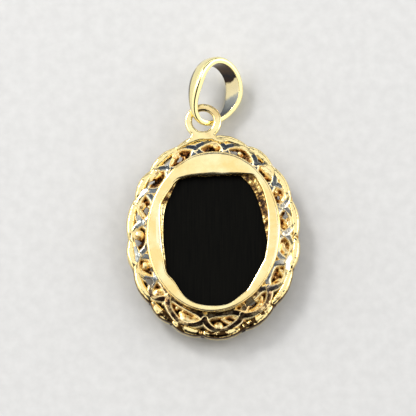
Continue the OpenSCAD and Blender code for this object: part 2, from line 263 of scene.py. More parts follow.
class Nodes:
    """Short hand for building the nodes of a material or a world."""

    def __init__(self, owner, space="Object"):
        """Takes the owner's tree, with places measured in the space of that name."""
        owner.use_nodes = True
        self.owner = owner
        self.tree = owner.node_tree
        self.place = self.add("TexCoord").outputs[space]

    def join(self, value, socket):
        """Gives an input its value: a link where the value is an output, else a constant."""
        if isinstance(value, bpy.types.NodeSocket):
            self.tree.links.new(value, socket)
        else:
            socket.default_value = value

    def add(self, kind, inputs=None, **settings):
        """A node with its settings, and with inputs by name or number."""
        node = self.tree.nodes.new("ShaderNode" + kind)
        for key, value in settings.items():
            setattr(node, key, value)
        for key, value in (inputs or {}).items():
            self.join(value, node.inputs[key])
        return node

    def axis(self, name):
        """The place's X, Y or Z."""
        return self.add("SeparateXYZ", {"Vector": self.place}).outputs[name]

    def pattern(self, scale, detail, roughness, place=None):
        """Noise that swings about 0.5, by its scale, detail and roughness."""
        place = self.place if place is None else place
        inputs = {"Vector": place, "Scale": scale, "Detail": detail, "Roughness": roughness}
        return self.add("TexNoise", inputs).outputs["Fac"]

    def spread(self, value, start, end, low=0.0, high=1.0, **settings):
        """Turns a value's run from start to end into one from low to high."""
        inputs = {"Value": value, "From Min": start, "From Max": end, "To Min": low, "To Max": high}
        return self.add("MapRange", inputs, **settings).outputs["Result"]

    def waver(self, pattern, reach):
        """Noise as a shift, of up to reach either way."""
        return self.spread(pattern, 0.3, 0.7, -reach, reach)

    def dull(self, pattern, low, high):
        """Noise as a roughness between two values."""
        return self.spread(pattern, 0.3, 0.75, low, high)

    def maths(self, operation, *values, **settings):
        """The result of one operation on values."""
        node = self.add("Math", dict(enumerate(values)), operation=operation, **settings)
        return node.outputs["Value"]

    def mix(self, factor, a, b, blend="MIX"):
        """Two colours mixed. The node takes colours at 6 and 7 and gives one at 2."""
        inputs = {"Factor": factor, 6: a, 7: b}
        return self.add("Mix", inputs, data_type="RGBA", blend_type=blend).outputs[2]

    def ramp(self, value, stops):
        """The colour at a value, from stops that are each a value and a colour."""
        node = self.add("ValToRGB", {"Fac": value})
        elements = node.color_ramp.elements
        while len(elements) < len(stops):
            elements.new(0.5)
        for element, (place, colour) in zip(elements, stops):
            element.position = place
            element.color = (*colour, 1)
        return node.outputs["Color"]

    def bump(self, height, strength, depth, normal=None):
        """A normal tilted by a height."""
        inputs = {"Height": height, "Strength": strength, "Distance": depth}
        if normal is not None:
            inputs["Normal"] = normal
        return self.add("Bump", inputs).outputs["Normal"]

    def finish(self, colour, roughness, normal, metallic=0.0):
        """Joins up the surface and gives the material."""
        shader = self.tree.nodes["Principled BSDF"]
        self.join(colour, shader.inputs["Base Color"])
        self.join(roughness, shader.inputs["Roughness"])
        self.join(normal, shader.inputs["Normal"])
        self.join(metallic, shader.inputs["Metallic"])
        return self.owner


# Scale, detail and roughness of the noise in each material
WAVES = (420.0, 3.0, 0.55)
GRAIN = (3200.0, 4.0, 0.6)
CAST_BROAD = (900.0, 3.0, 0.6)
CAST_SMALL = (3600.0, 4.0, 0.65)
CAST_VEINS = (2300.0, 2.0, 0.5)
FLANK_NOISE = (1500.0, 3.0, 0.6)
REFLECTION_NOISE = (1800.0, 3.0, 0.6)
BAIL_NOISE = (900.0, 3.0, 0.6)
LEDGE_BROAD = (1700.0, 3.0, 0.6)
LEDGE_SMALL = (4200.0, 4.0, 0.7)
LINE_NOISE = (1.0, 3.0, 0.5)
STONE_NOISE = (1500.0, 2.0, 0.5)
FLOOR_NOISE = (900.0, 4.0, 0.5)
# Depths of the bumps, and strength of the polishing waves
WAVE_DEPTH = 0.0002
WAVE_BUMP = 0.12
BROAD_DEPTH = 0.0001
GRAIN_DEPTH = 0.00004
FLOOR_DEPTH = 0.00005
LINE_DEPTH = 0.00001


def gold(name, light, deep, rough=(0.10, 0.24), fine=0.15, metallic=1.0):
    """Polished yellow gold between two colours, with faint polishing waves."""
    n = Nodes(bpy.data.materials.new(name))
    waves, grain = n.pattern(*WAVES), n.pattern(*GRAIN)
    colour = n.ramp(waves, [(0.4, deep), (0.62, light)])
    normal = n.bump(grain, fine, GRAIN_DEPTH, n.bump(waves, WAVE_BUMP, WAVE_DEPTH))
    return n.finish(colour, n.dull(grain, *rough), normal, metallic)


# Heights between which the casting turns from clean metal to painted shade in the recesses, how far
# noise shifts that turn, the colours of that painted shade and of the veins, and the shade of the
# darker waves
RECESS_SHADE_Z = (0.00226, 0.00178)
RECESS_SHADE_WAVER = 0.26
RECESS_SHADE = [
    (0.1, (1.0, 1.0, 1.0)), (0.3, (0.8, 0.6, 0.38)),
    (0.5, (0.3, 0.16, 0.075)), (0.8, (0.035, 0.018, 0.009)),
]
VEIN = [(0.36, (0.45, 0.25, 0.12)), (0.43, (0.9, 0.72, 0.52)), (0.47, (1.0, 1.0, 1.0))]
CAST_SHADE = 0.9


def casting(name, colour):
    """Matte cast gold of the comma scrolls, with painted shade, brown to near black, down in the
    recesses.
    """
    n = Nodes(bpy.data.materials.new(name))
    broad, small = n.pattern(*CAST_BROAD), n.pattern(*CAST_SMALL)
    depth = n.spread(n.axis("Z"), *RECESS_SHADE_Z)
    depth = n.maths("ADD", depth, n.waver(small, RECESS_SHADE_WAVER), use_clamp=True)
    shade = n.ramp(broad, [(0.3, tuple(c * CAST_SHADE for c in colour)), (0.65, colour)])
    shade = n.mix(1.0, shade, n.ramp(n.pattern(*CAST_VEINS), VEIN), "MULTIPLY")
    # Painted shade: the colour turns brown to near black lower down in the recesses
    shade = n.mix(1.0, shade, n.ramp(depth, RECESS_SHADE), "MULTIPLY")
    normal = n.bump(small, 0.4, GRAIN_DEPTH, n.bump(broad, 0.2, BROAD_DEPTH))
    return n.finish(shade, n.dull(small, 0.16, 0.34), normal, 0.66)


# The border's flank gets painted shade between two heights, of which noise shifts the upper one,
# and only towards the pendant's foot. Blotches of the same painted shade lie nearer still to the
# foot.
FLANK_HIGH = (0.00238, 0.00226)
FLANK_LOW = (0.00172, 0.00186)
FLANK_WAVER = 0.00008
FLANK_Y = (-0.0025, -0.006)
SHADE_BLOTCH = (0.50, 0.43)
SHADE_BLOTCH_Y = (-0.0055, -0.0085)
FLANK_SHADE = [(0.1, (1, 1, 1)), (0.45, (0.42, 0.29, 0.19)), (0.8, (0.05, 0.032, 0.022))]
# Place from which the metal is the loop's, and the colours of the loop's worn metal
WORN_Y = (0.0098, 0.0106)
WORN = [(0.36, (0.76, 0.56, 0.24)), (0.48, (0.9, 0.73, 0.36)), (0.6, (0.98, 0.84, 0.42))]


def edging(name, colour):
    """Polished gold of the border and loop, with painted shade on the flank and the foot edge below
    it left light.
    """
    n = Nodes(bpy.data.materials.new(name))
    waves, grain, mid = n.pattern(*WAVES), n.pattern(*GRAIN), n.pattern(*FLANK_NOISE)
    y, z = n.axis("Y"), n.axis("Z")
    above = n.spread(z, *FLANK_LOW)
    under = n.spread(n.maths("ADD", z, n.waver(mid, FLANK_WAVER)), *FLANK_HIGH)
    dark = n.maths("MULTIPLY", n.maths("MULTIPLY", under, above), n.spread(y, *FLANK_Y))
    shade_blotch = n.maths("MULTIPLY", n.spread(mid, *SHADE_BLOTCH), n.spread(y, *SHADE_BLOTCH_Y))
    dark = n.maths("MAXIMUM", dark, n.maths("MULTIPLY", shade_blotch, above))
    metal = n.mix(n.spread(y, *WORN_Y), (*colour, 1), n.ramp(waves, WORN))
    # Painted shade on the flank and in blotches towards the pendant's foot
    shade = n.mix(1.0, metal, n.ramp(dark, FLANK_SHADE), "MULTIPLY")
    normal = n.bump(grain, 0.25, GRAIN_DEPTH, n.bump(waves, WAVE_BUMP, WAVE_DEPTH))
    return n.finish(shade, n.dull(grain, 0.07, 0.2), normal, 1.0)


# Colours of the painted grey-blue reflection, paler towards the right, and of the painted brown
# shade towards the pendant's foot
DARK_REFLECTION = [(0.35, (0.15, 0.17, 0.18)), (0.65, (0.34, 0.35, 0.31))]
PALE_REFLECTION = [(0.35, (0.52, 0.5, 0.44)), (0.6, (0.9, 0.8, 0.58))]
PALE_REFLECTION_X = (0.0062, 0.0074)
BROWN_SHADE = [(0.42, (0.07, 0.04, 0.025)), (0.51, (0.3, 0.17, 0.07)), (0.62, (0.9, 0.66, 0.3))]
BROWN_SHADE_FROM = (-0.0045, -0.0062)
# Roughness of metal that mirrors its surroundings clearly
CLEAR = 0.14


def painted_reflection(name):
    """Painted grey-blue reflection where the ribbons cross, with painted brown shade blotched in
    towards the foot of the pendant.
    """
    n = Nodes(bpy.data.materials.new(name))
    small = n.pattern(*REFLECTION_NOISE)
    right, low = n.spread(n.axis("X"), *PALE_REFLECTION_X), n.spread(n.axis("Y"), *BROWN_SHADE_FROM)
    # Painted reflection of the dark surroundings, paler to the right, then painted brown shade
    # towards the foot
    grey = n.mix(right, n.ramp(small, DARK_REFLECTION), n.ramp(small, PALE_REFLECTION))
    shade = n.mix(low, grey, n.ramp(small, BROWN_SHADE))
    return n.finish(shade, CLEAR, n.bump(small, 0.15, GRAIN_DEPTH), 1.0)


# Places along the pendant between which the bail's painted shade and reflections run, and how far
# noise shifts them
BAIL_Y = (0.0128, 0.0185)
BAIL_WAVER = 0.05


def banded(name, stops):
    """Polished gold with painted reflections and shade, whose colour runs along the pendant with
    wavering limits.
    """
    n = Nodes(bpy.data.materials.new(name))
    small = n.pattern(*BAIL_NOISE)
    run = n.maths("ADD", n.spread(n.axis("Y"), *BAIL_Y), n.waver(small, BAIL_WAVER))
    return n.finish(n.ramp(run, stops), CLEAR, n.bump(small, 0.15, BROAD_DEPTH), 1.0)


# Colours of the ledge: its cast grains and pits, kept dark overall as painted shade under the rim
LEDGE_GRAIN_AND_SHADE = [
    (0.42, (0.04, 0.02, 0.01)), (0.5, (0.26, 0.14, 0.04)),
    (0.57, (0.62, 0.42, 0.13)), (0.66, (1.0, 0.82, 0.38)),
]


def ledge_metal(name):
    """Rough cast metal of the ledge, golden brown with bright grains and dark pits, darkened
    overall as painted shade under the rim.
    """
    n = Nodes(bpy.data.materials.new(name))
    broad, small = n.pattern(*LEDGE_BROAD), n.pattern(*LEDGE_SMALL)
    normal = n.bump(small, 0.5, GRAIN_DEPTH, n.bump(broad, 0.5, BROAD_DEPTH))
    return n.finish(n.ramp(broad, LEDGE_GRAIN_AND_SHADE), n.dull(small, 0.28, 0.55), normal, 0.85)


ONYX = [(0.35, (0.0014, 0.0014, 0.0010)), (0.75, (0.0042, 0.0040, 0.0028))]
# Polishing lines: waves to the metre across the stone, along it and through it
LINES = (9000.0, 260.0, 260.0)
# Specular level of the stone, which keeps it black under the lamps
STONE_GLOSS = 0.04


def onyx():
    """Black stone with fine polishing lines along its length."""
    n = Nodes(bpy.data.materials.new("onyx"))
    stretch = n.add("Mapping", {"Vector": n.place, "Scale": LINES}).outputs["Vector"]
    lines = n.pattern(*LINE_NOISE, stretch)
    rough = n.spread(n.pattern(*STONE_NOISE), 0.35, 0.7, 0.3, 0.5)
    n.join(STONE_GLOSS, n.tree.nodes["Principled BSDF"].inputs["Specular IOR Level"])
    return n.finish(n.ramp(lines, ONYX), rough, n.bump(lines, 0.25, LINE_DEPTH))


LIGHT_GOLD = (0.95, 0.77, 0.36)
DEEP_GOLD = (0.96, 0.71, 0.3)
LIT_PALE_GOLD = (1.0, 0.89, 0.45)
polished = gold("gold_polished", (0.99, 0.84, 0.45), (0.94, 0.7, 0.29))
# Paler gold, a painted highlight on the rim's edges
highlight_gold = gold("gold_shining", (1.0, 0.91, 0.6), (1.0, 0.86, 0.5))
cast = casting("gold_cast", (1.0, 0.82, 0.42))
rope = edging("gold_rope", LIGHT_GOLD)
ledge = ledge_metal("gold_ledge")
ribbon_gold = gold("gold_ribbon", LIGHT_GOLD, DEEP_GOLD, rough=(0.05, 0.14))
reflection_gold = painted_reflection("gold_grey")
# Paler, less metallic gold, a painted highlight along the ribbons' edges
edge_highlight_gold = gold("gold_line", (1.0, 0.86, 0.5), (1.0, 0.8, 0.42), rough=(0.2, 0.35), metallic=0.5)
# The bail's outer faces in a paler gold, as painted light that makes them read brighter
bright = gold("gold_bail", LIT_PALE_GOLD, LIT_PALE_GOLD, rough=(0.08, 0.2), fine=0.12)
# Painted reflections on the bail's inner face: dark at top and bottom, bright in a band between
mirrored = banded("gold_bail_inner", [
    (0.0, (0.04, 0.045, 0.06)), (0.12, (0.16, 0.18, 0.2)), (0.34, (0.42, 0.44, 0.42)),
    (0.42, (1.0, 0.88, 0.55)), (0.64, (1.0, 0.86, 0.5)), (0.68, (0.05, 0.03, 0.02)),
    (0.74, (0.02, 0.02, 0.025)), (1.0, (0.16, 0.09, 0.035)),
])
# Painted shade on the strip behind the bail's crown, with a thin painted highlight
shaded = banded("gold_bail_back", [
    (0.0, (0.5, 0.4, 0.2)), (0.4, (0.16, 0.15, 0.13)), (0.7, (0.2, 0.17, 0.12)),
    (0.8, (0.9, 0.75, 0.4)), (0.86, (0.12, 0.1, 0.09)), (1.0, (0.4, 0.3, 0.15)),
])


# Border with its loop and neck

# The border's lobes: points round it, how round a lobe swells, drop of the crown at the notches
# and where a lobe dives under the one before it, and share of the lobe over which it does
BORDER_STEPS = 960
LOBE_ROUND = 0.8
NOTCH_DROP = 0.12
TUCK_DROP = 0.22
TUCK_SHARE = 0.05
# Section of the lobes: share of the width in from the outer edge, and depth below the crown
LOBE_CROWN = [
    (1, 0.5), (0.97, 0.26), (0.88, 0.08), (0.72, 0), (0.32, -0.01), (0.14, 0.07), (0.03, 0.24),
    (0, 0.42),
]
# Their outer side: share of the width in from the outer edge, and height above the foot. The
# foot itself stands a little in.
LOBE_SIDE = [(0.03, 0.4), (0, 0.2), (0, 0.06)]
LOBE_FOOT = 0.1


def border_part():
    """Scalloped border: broad flat lobes, each tucked under the one before it."""
    e = np.linspace(0, 360, BORDER_STEPS, endpoint=False)
    run = phase(e)
    swell = np.abs(np.sin(np.pi * run)) ** LOBE_ROUND
    out = LOBE_DEPTH * (swell - 0.5)
    w = BAND_NOTCH + (BAND_MID - BAND_NOTCH) * swell
    top = BORDER_TOP - NOTCH_DROP * (1 - swell) - TUCK_DROP * np.exp(-(run % 1) / TUCK_SHARE)
    foot = BORDER_Z * np.ones_like(e)
    section = [(out - w, foot)]
    section += [(out - w * share, top - deep) for share, deep in LOBE_CROWN]
    section += [(out - w * share, foot + high) for share, high in LOBE_SIDE]
    section += [(out - LOBE_FOOT, foot)]
    base, normal = oval(BORDER_OUT, e), oval_normal(BORDER_OUT, e)
    rings = [np.concatenate([base + normal * o[:, None], z[:, None]], 1) for o, z in section]
    return skin(np.stack(rings, 1))


# The loop: points round it and round its section, power of the section's rounded corners, and
# shift of the hole, which leaves the right side a little thicker
LOOP_STEPS = 120
LOOP_AROUND = 24
LOOP_ROUND = 0.6
HOLE_SHIFT = np.array([-0.05, 0.02])


def loop_part():
    """Flat ring with rounded edges and a hole a little off its middle."""
    a = np.arange(LOOP_AROUND) * 2 * np.pi / LOOP_AROUND
    across = (1 + np.sign(np.cos(a)) * np.abs(np.cos(a)) ** LOOP_ROUND) / 2
    lift = np.sign(np.sin(a)) * np.abs(np.sin(a)) ** LOOP_ROUND * LOOP_T / 2
    e = np.linspace(0, 2 * np.pi, LOOP_STEPS, endpoint=False)
    outer = np.stack([np.sin(e), np.cos(e)], 1) * LOOP_D / 2
    inner = np.stack([np.sin(e), np.cos(e)], 1) * LOOP_HOLE / 2 + HOLE_SHIFT
    rings = [
        np.c_[inner + (outer - inner) * o, np.full_like(e, z)] + LOOP for o, z in zip(across, lift)
    ]
    return skin(np.stack(rings, 1))


# Outline of the neck, in places measured from the lowest point of the loop
NECK = [
    (-1.15, 0.42), (-1.28, 0.12), (-1.75, -0.35), (-2.75, -0.95),
    (-2.6, -1.3), (-1.9, -0.8), (-1.1, -0.38), (-0.4, -0.12),
    (0.8, -0.12), (1.3, -0.35), (1.9, -0.5), (2.4, -0.25),
    (1.4, 0.08), (1.2, 0.42), (0, 0.7),
]


def neck_part():
    """Flat plate that joins the loop to the border."""
    root = LOOP[:2] - [0, LOOP_D / 2]
    return prism(np.array(NECK) + root, LOOP[2] - LOOP_T / 2, LOOP[2] + LOOP_T / 2)


# Cell of the melted border, passes of smoothing and most triangles
BORDER_MELT = (0.06, 3, 120000)
# Lumps of the cast metal: height, scale and seed. Over the last millimetre before LUMPS_END they
# fade to a share, which the loop keeps.
BORDER_LUMPS = [(0.03, 1.5, 0.0), (0.014, 4.5, 5.0)]
LUMPS_END = 11.2
LUMPS_LEAST = 0.3


def border():
    """Border, loop and neck in one cast skin, held inside the solids' box."""
    mesh = fused("frame_border", [border_part(), loop_part(), neck_part()], *BORDER_MELT)
    places, normals = vertex_values(mesh, "co"), vertex_values(mesh, "normal")
    lumps = rough_sum(places, BORDER_LUMPS)
    places += normals * (lumps * np.clip(LUMPS_END - places[:, 1], LUMPS_LEAST, 1))[:, None]
    low, high = np.array(cad_box) / MM
    places = np.clip(places, low, high)
    mesh.vertices.foreach_set("co", places.astype(np.float32).ravel())
    return mesh


# Scrollwork

# Share at which a strand runs along the collar, and points of a strand between two knots
STRAND_IN = 0.02
STRAND_STEPS = 50


def knot(side, i):
    """Angle and share of a strand's knots: a bend or a run along the collar, then a crossing."""
    k = i // 2
    turn = 360 * (k // COUNT)
    bend, bend_share, crossing, crossing_share = EYES[k % COUNT]
    if i % 2:
        return crossing + turn, crossing_share
    return bend + turn, bend_share if k % 2 == side else STRAND_IN


def strand_line(side, i):
    """Angles, shares and nearness to the crossing of a strand from one knot to the next."""
    (e0, s0), (e1, s1) = knot(side, i), knot(side, i + 1)
    t = np.linspace(0, 1, STRAND_STEPS + 1)
    off, bend, cross = (t, s0, s1) if i % 2 == 0 else (1 - t, s1, s0)
    if bend > cross:
        way = (np.sqrt(1 - off * off) + 1 - off * off * (3 - off) / 2) / 2
    else:
        way = 1 - off ** 4
    return e0 + (e1 - e0) * t, cross + (bend - cross) * way, off


# Gaps pierced right through the web, clockwise from the top
GAPS = [
    [(1.55, 9.05), (2.4, 9), (2.45, 8.65), (1.7, 8.75)],
    [(4.45, 8.3), (5.1, 7.9), (4.95, 7.45), (4.5, 7.8)],
    [(6.4, 4.4), (6.65, 4.25), (6.62, 3.9), (6.4, 4)],
    [(7.25, 2.7), (7.5, 2.1), (7.2, 1.75), (6.9, 2)],
    [(3.15, -7), (3.85, -6.4), (4.2, -6.78), (3.85, -7.15), (3.3, -7.35)],
    [(-6.85, -4.3), (-6.2, -4.35), (-5.9, -4.78), (-6.2, -5.2), (-6.55, -4.9)],
    [(-6.35, -3.4), (-6, -3.1), (-5.65, -3.35), (-5.55, -3.75), (-6.05, -3.7)],
    [(-6.7, -0.8), (-6.5, -1.3), (-6.6, -1.6), (-6.85, -1.3)],
    [(-7.8, -0.25), (-7.1, -0.45), (-7.5, -1.05), (-7.75, -0.9)],
    [(-7.8, 3.15), (-7.58, 2.63), (-7.3, 1.7), (-7.65, 1.6), (-7.8, 2.5)],
    [(-6.66, 3.15), (-6.3, 2.7), (-6.35, 2.2), (-6.7, 2.35), (-6.95, 2.76)],
    [(-6.9, 5.5), (-6.37, 5.7), (-5.75, 6), (-6.62, 5.05), (-6.9, 4.95)],
    [(-4.15, 8.7), (-5, 7.7), (-4.8, 7.3), (-4.4, 7.5), (-4.05, 8.45)],
    [(-3.7, 7.8), (-3.32, 8.4), (-3.05, 8.3), (-3.2, 7.95)],
]


def inside(x, y, outline):
    """Whether points lie inside a polygon."""
    hit = np.zeros(np.shape(x), bool)
    for (x0, y0), (x1, y1) in zip(outline, outline[1:] + outline[:1]):
        if y0 != y1:
            hit ^= ((y0 > y) != (y1 > y)) & (x < x0 + (x1 - x0) * (y - y0) / (y1 - y0))
    return hit


# Pearls and tails of the comma scrolls, clockwise from the top: places and the metal's half
# width at each
COMMAS = [
    [(-0.36, 9.58, 0.20), (0.01, 9.70, 0.26), (0.35, 9.43, 0.30)],
    [(0.60, 9.95, 0.14), (0.89, 9.64, 0.14)],
    [(3.85, 8.02, 0.20), (4.06, 7.73, 0.28), (4.31, 7.45, 0.18)],
    [(2.64, 8.63, 0.16), (2.85, 8.42, 0.14)],
    [(5.01, 7.08, 0.28), (5.47, 6.71, 0.38), (5.89, 6.28, 0.36)],
    [(6.72, 5.02, 0.14), (7.14, 4.57, 0.22), (7.22, 4.04, 0.24), (6.89, 3.62, 0.16)],
    [(6.35, 4.54, 0.16)],
    [(7.18, 1.40, 0.16), (7.56, 1.23, 0.34), (7.51, 0.84, 0.34)],
    [(6.89, -0.97, 0.24), (6.97, -1.42, 0.28), (7.26, -1.78, 0.36)],
    [(6.68, -3.61, 0.16), (6.97, -3.90, 0.28)],
    [(6.60, -4.68, 0.26), (6.26, -5.05, 0.36)],
    [(4.18, -6.56, 0.30)],
    [(4.85, -6.39, 0.12), (4.72, -7.02, 0.20), (4.26, -7.70, 0.34), (3.51, -8.17, 0.28)],
    [(3.01, -8.73, 0.24), (2.26, -8.50, 0.20), (1.76, -8.34, 0.10)],
    [(0.51, -9.42, 0.42)],
    [(0.85, -8.65, 0.10), (1.35, -8.88, 0.16), (1.85, -9.11, 0.20)],
    [
        (-0.87, -8.26, 0.10), (-1.45, -8.69, 0.26), (-2.20, -8.85, 0.38), (-2.87, -8.55, 0.42),
        (-3.16, -8.07, 0.24),
    ],
    [(-1.79, -8.09, 0.14), (-1.20, -8.20, 0.22)],
    [(-3.37, -7.10, 0.20), (-3.62, -7.52, 0.14)],
    [(-5.45, -6.00, 0.50)],
    [(-4.95, -6.40, 0.16), (-4.91, -7.02, 0.20)],
    [(-6.74, -3.09, 0.36)],
    [
        (-7.41, -2.91, 0.16), (-7.41, -3.44, 0.20), (-6.99, -3.93, 0.24), (-6.37, -4.23, 0.22),
        (-5.79, -4.48, 0.16),
    ],
    [(-7.41, 0.07, 0.46)],
    [(-7.62, 0.71, 0.12), (-7.33, 0.89, 0.12)],
    [(-7.12, 3.10, 0.36)],
    [(-6.41, 3.02, 0.14)],
    [(-7.33, 2.56, 0.22), (-6.95, 2.05, 0.20)],
    [(-5.79, 6.29, 0.30), (-5.54, 6.62, 0.40), (-5.16, 6.99, 0.30)],
    [(-4.20, 7.38, 0.12), (-3.99, 7.98, 0.16), (-3.58, 8.49, 0.20), (-3.29, 8.17, 0.12)],
]
# Samples for each place of a comma, crown of the thinnest tails, rise of the crown with the
# metal's half width, how round the pearls and tails are, and their size against the places above
COMMA_STEPS = 30
COMMA_TOP = 2.26
COMMA_RISE = 0.5
COMMA_FALL = 0.45
COMMA_SIZE = 1.12
# Ribbons: width against the source's strand at a bend, and what a crossing adds, fall of the top
# across the width and the share of it left at a bend, drop of the rounded edges and their power,
# and lift of the ribbon that passes over the other
RIBBON_WIDE = 1.12
RIBBON_CROSS = 0.34
RIBBON_LEAN = 0.3
RIBBON_LEAST = 0.4
RIBBON_DROP = 0.14
RIBBON_ROUND = 6
WEAVE = 0.015
# Steepness of the flanks of ribbons and commas, and how far from their lines they can reach
STEEP = 4.0
REACH = 0.75
# Share of a ribbon's half width that is its flat, between edges with a painted highlight
FLAT_SHARE = 0.66
# Nearness to a crossing from which a ribbon has the painted grey reflection, and share across the
# strip up to which it has
REFLECTION_OFF = 0.55
REFLECTION_SHARE = 0.14
# Place along the pendant below which the ribbons have the painted brown shade all the way
BROWN_SHADE_Y = -5.6
# Cast ground: height over the web and its noise, with height, scale and seed. It rises between
# two places to the right and sinks between two towards the foot.
GROUND = 0.08
GROUND_NOISE = [(0.34, 2.3, 4.0), (0.14, 6.0, 2.0)]
GROUND_RISE = 0.26
RISE_X = (5, 7)
GROUND_SINK = 0.1
SINK_Y = (-3, -6)
# Kinds of place in the relief, which are also the numbers of their materials
CAST, LIT_EDGE, RIBBON, GREY_REFLECTION = range(4)


def raised(height, kind, flat, line, lift):
    """Lifts the height near a line, by a rule of the line's sample, the distance and the place."""
    near = np.flatnonzero(((flat > line.min(0) - REACH) & (flat < line.max(0) + REACH)).all(1))
    d = np.linalg.norm(flat[near, None] - line[None], axis=2)
    k = d.argmin(1)
    d = d[np.arange(len(near)), k]
    new, sort = lift(k, d, near)
    higher = new > height[near]
    height[near[higher]] = new[higher]
    kind[near[higher]] = sort[higher]


def relief(flat, e):
    """Height and kind of the cast metal between the collar and the border."""
    outward = oval_normal(BORDER_OUT, e)
    kind = np.full(len(flat), CAST)
    level = np.c_[flat, np.zeros(len(flat))]
    height = rough_sum(level, GROUND_NOISE, BORDER_Z + WEB_T + GROUND)
    height += GROUND_RISE * run_up(flat[:, 0], *RISE_X) - GROUND_SINK * run_up(flat[:, 1], *SINK_Y)
    for side in (0, 1):
        for i in range(2 * COUNT):
            angle, share, off = strand_line(side, i)
            line = between(share, angle)
            over = WEAVE if (i // 2 + side) % 2 == 0 else -WEAVE
            crest = BORDER_Z + STRAND_H - STRAND_FALL * share + over * off
            half = STRAND_T / 2 * (RIBBON_WIDE + RIBBON_CROSS * off ** 2)
            lean = RIBBON_LEAN * (RIBBON_LEAST + (1 - RIBBON_LEAST) * off)

            def ribbon(k, d, near):
                """Height and kind of the ribbon's metal."""
                part = d / half[k]
                fall = lean[k] * np.sum((flat[near] - line[k]) * outward[near], 1)
                dome = RIBBON_DROP * np.clip(part, 0, 1) ** RIBBON_ROUND
                top = crest[k] - fall - dome - STEEP * np.clip(d - half[k], 0, None)
                # Ribbons near a crossing, along the collar and low on the pendant get the painted
                # reflection and shade
                grey = (off[k] > REFLECTION_OFF) | (share[k] < REFLECTION_SHARE) | (line[k, 1] < BROWN_SHADE_Y)
                strip = np.where(grey, GREY_REFLECTION, RIBBON)
                return top, np.where(part < FLAT_SHARE, strip, np.where(part < 1, LIT_EDGE, CAST))

            raised(height, kind, flat, line, ribbon)
    for stroke in COMMAS:
        rows = np.array(stroke)
        k = np.linspace(0, len(rows) - 1, COMMA_STEPS * len(rows))
        x, y, radius = (np.interp(k, range(len(rows)), rows[:, c]) for c in range(3))
        radius = radius * COMMA_SIZE

        def rod(k, d, near):
            """Height and kind of a comma's metal."""
            r = radius[k]
            fall = COMMA_FALL * r * np.clip(d / r, 0, 1) ** 3
            top = COMMA_TOP + COMMA_RISE * r - fall - STEEP * np.clip(d - r, 0, None)
            return top, np.full(len(near), CAST)

        raised(height, kind, flat, np.c_[x, y], rod)
    return height, kind


# Cells round the collar, lines of points across the strip, and the shares that they span
CELLS = 1150
LINES_ACROSS = 42
SPAN = (-0.05, 1.4)
# Grain of the metal: height, scale and seed, and how much of it castings and ribbons have
RELIEF_GRAIN = [(0.012, 3.0, 0.0), (0.008, 9.0, 6.0)]
CAST_GRAIN = 1.5
RIBBON_GRAIN = 0.2
# Height of the metal's top over the plane in which the gaps are drawn. Their walls lean, so that
# they are open along the line of sight. The lean comes on between two distances from their corners.
GAP_RISE = 0.4
GAP_LEAN = 0.24
NEAR_GAP = (0.96, 0.16)
# Height of the underside over the border's foot
UNDERSIDE = 0.02


def scrollwork():
    """Cast relief between the collar and the border, in small cells, with the gaps left open."""
    n, rows = CELLS, LINES_ACROSS
    e = np.arange(n) * 360 / n
    grid = np.stack([between(np.full(n, s), e) for s in np.linspace(*SPAN, rows)], 1)
    flat = grid.reshape(-1, 2)
    height, kind = relief(flat, np.repeat(e, rows))
    grain = rough_sum(np.c_[flat, height], RELIEF_GRAIN)
    height += grain * np.where(kind == CAST, CAST_GRAIN, RIBBON_GRAIN)
    middle = (grid[:, 1:] + grid[:, :-1]) / 2
    middle = (middle + np.roll(middle, -1, 0)) / 2
    x, y = middle[..., 0], middle[..., 1] + GAP_RISE * math.tan(TILT)
    solid = np.ones(x.shape, bool)
    for gap in GAPS:
        solid &= ~inside(x, y, gap)
    gap_corners = np.concatenate([np.array(gap) for gap in GAPS])
    distance = np.linalg.norm(flat[:, None] - gap_corners[None], axis=2).min(1)
    lean = GAP_LEAN * run_up(distance, *NEAR_GAP)
    top = np.c_[flat, height]
    low = np.c_[flat[:, 0], flat[:, 1] + lean, np.full(len(flat), BORDER_Z + UNDERSIDE)]
    faces, marks, lift = [], [], len(flat)
    for i, j in np.argwhere(solid):
        a, b = i * rows + j, (i + 1) % n * rows + j
        corners = sorted(int(kind[c]) for c in (a, b, b + 1, a + 1))
        marks += [corners[1], CAST]
        faces += [[a, b, b + 1, a + 1], [lift + a, lift + a + 1, lift + b + 1, lift + b]]
        sides = (
            (not solid[i - 1, j], a + 1, a),
            (not solid[(i + 1) % n, j], b, b + 1),
            (j == 0 or not solid[i, j - 1], a, b),
            (j == rows - 2 or not solid[i, j + 1], b + 1, a + 1),
        )
        walls = [[p, lift + p, lift + q, q] for bare, p, q in sides if bare]
        faces += walls
        marks += [CAST] * len(walls)
    return mesh_of("frame_scrollwork", [(np.concatenate([top, low]), faces)]), marks


piece("frame_border", border(), [rope], "frame")
relief_mesh, relief_kinds = scrollwork()
relief_metals = [cast, edge_highlight_gold, ribbon_gold, reflection_gold]
piece("frame_scrollwork", relief_mesh, relief_metals, "frame", relief_kinds)


# Collar, rim and ledge

